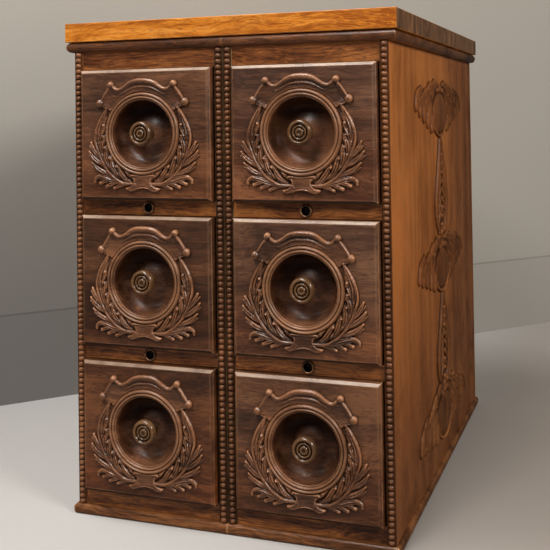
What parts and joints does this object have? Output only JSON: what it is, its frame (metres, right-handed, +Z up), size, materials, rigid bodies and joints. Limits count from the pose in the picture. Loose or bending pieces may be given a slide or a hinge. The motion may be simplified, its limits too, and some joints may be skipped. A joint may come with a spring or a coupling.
{
  "type": "small drawer cabinet",
  "caption": "Small oak cabinet of drawer banks side by side under one plank top, with carved fronts, turned cup pulls and a keyed lock between drawers.",
  "frame": {"origin": "middle of the cabinet's footprint box, on the floor", "axes": "+Z up, +X to the right seen from the front, -Y out of the drawer fronts towards the user"},
  "size_m": [0.347, 0.441, 0.492],
  "materials": {
    "plank_oak": "satin shellac",
    "rail_oak": "satin shellac",
    "raw_oak": "raw, aged",
    "dark_oak": "semi-gloss shellac",
    "side_oak": "semi-gloss shellac",
    "front_oak": "semi-gloss shellac",
    "carved_oak": "semi-gloss shellac",
    "turned_oak": "semi-gloss shellac",
    "dark_iron": "worn dark metal",
    "steel": "aged steel"
  },
  "bodies": {
    "case": {"top_board": "plank_oak", "left_cap_board": "dark_oak", "right_cap_board": "dark_oak", "left_base_board": "dark_oak", "right_base_board": "dark_oak", "left_outer_side": "side_oak", "left_inner_side": "raw_oak", "right_inner_side": "raw_oak", "right_outer_side": "side_oak", "left_back_panel": "raw_oak", "right_back_panel": "raw_oak", "front_rails": "rail_oak", "drawer_runners": "raw_oak", "lock_barrels": "dark_iron", "bead_mouldings": "dark_oak", "case_screws": "steel", "left_side_carving": "carved_oak", "right_side_carving": "carved_oak"},
    "left_top_drawer": {"left_top_drawer_front": "front_oak", "left_top_drawer_carving": "carved_oak", "left_top_drawer_pull_cup": "turned_oak", "left_top_drawer_knob": "turned_oak", "left_top_drawer_box": "raw_oak", "left_top_drawer_floor": "raw_oak"},
    "left_middle_drawer": {"left_middle_drawer_front": "front_oak", "left_middle_drawer_carving": "carved_oak", "left_middle_drawer_pull_cup": "turned_oak", "left_middle_drawer_knob": "turned_oak", "left_middle_drawer_box": "raw_oak", "left_middle_drawer_floor": "raw_oak"},
    "left_bottom_drawer": {"left_bottom_drawer_front": "front_oak", "left_bottom_drawer_carving": "carved_oak", "left_bottom_drawer_pull_cup": "turned_oak", "left_bottom_drawer_knob": "turned_oak", "left_bottom_drawer_box": "raw_oak", "left_bottom_drawer_floor": "raw_oak"},
    "right_top_drawer": {"right_top_drawer_front": "front_oak", "right_top_drawer_carving": "carved_oak", "right_top_drawer_pull_cup": "turned_oak", "right_top_drawer_knob": "turned_oak", "right_top_drawer_box": "raw_oak", "right_top_drawer_floor": "raw_oak"},
    "right_middle_drawer": {"right_middle_drawer_front": "front_oak", "right_middle_drawer_carving": "carved_oak", "right_middle_drawer_pull_cup": "turned_oak", "right_middle_drawer_knob": "turned_oak", "right_middle_drawer_box": "raw_oak", "right_middle_drawer_floor": "raw_oak"},
    "right_bottom_drawer": {"right_bottom_drawer_front": "front_oak", "right_bottom_drawer_carving": "carved_oak", "right_bottom_drawer_pull_cup": "turned_oak", "right_bottom_drawer_knob": "turned_oak", "right_bottom_drawer_box": "raw_oak", "right_bottom_drawer_floor": "raw_oak"},
    "left_upper_lock_tongue": {"left_upper_lock_tongue": "dark_iron"},
    "left_lower_lock_tongue": {"left_lower_lock_tongue": "dark_iron"},
    "right_upper_lock_tongue": {"right_upper_lock_tongue": "dark_iron"},
    "right_lower_lock_tongue": {"right_lower_lock_tongue": "dark_iron"}
  },
  "joints": [
    {"name": "left_top_drawer_slide", "type": "slide", "parent": "case", "child": "left_top_drawer", "axis": [0, -1, 0], "range_m": [0, 0.3]},
    {"name": "left_middle_drawer_slide", "type": "slide", "parent": "case", "child": "left_middle_drawer", "axis": [0, -1, 0], "range_m": [0, 0.3]},
    {"name": "left_bottom_drawer_slide", "type": "slide", "parent": "case", "child": "left_bottom_drawer", "axis": [0, -1, 0], "range_m": [0, 0.3]},
    {"name": "right_top_drawer_slide", "type": "slide", "parent": "case", "child": "right_top_drawer", "axis": [0, -1, 0], "range_m": [0, 0.3]},
    {"name": "right_middle_drawer_slide", "type": "slide", "parent": "case", "child": "right_middle_drawer", "axis": [0, -1, 0], "range_m": [0, 0.3]},
    {"name": "right_bottom_drawer_slide", "type": "slide", "parent": "case", "child": "right_bottom_drawer", "axis": [0, -1, 0], "range_m": [0, 0.3]},
    {"name": "left_upper_lock_turn", "type": "hinge", "parent": "case", "child": "left_upper_lock_tongue", "pos_m": [-0.08257, -0.196, 0.30712], "axis": [0, 1, 0], "range_deg": [0, 90]},
    {"name": "left_lower_lock_turn", "type": "hinge", "parent": "case", "child": "left_lower_lock_tongue", "pos_m": [-0.08257, -0.196, 0.16287], "axis": [0, 1, 0], "range_deg": [0, 90]},
    {"name": "right_upper_lock_turn", "type": "hinge", "parent": "case", "child": "right_upper_lock_tongue", "pos_m": [0.08257, -0.196, 0.30712], "axis": [0, 1, 0], "range_deg": [0, 90]},
    {"name": "right_lower_lock_turn", "type": "hinge", "parent": "case", "child": "right_lower_lock_tongue", "pos_m": [0.08257, -0.196, 0.16287], "axis": [0, 1, 0], "range_deg": [0, 90]}
  ]
}
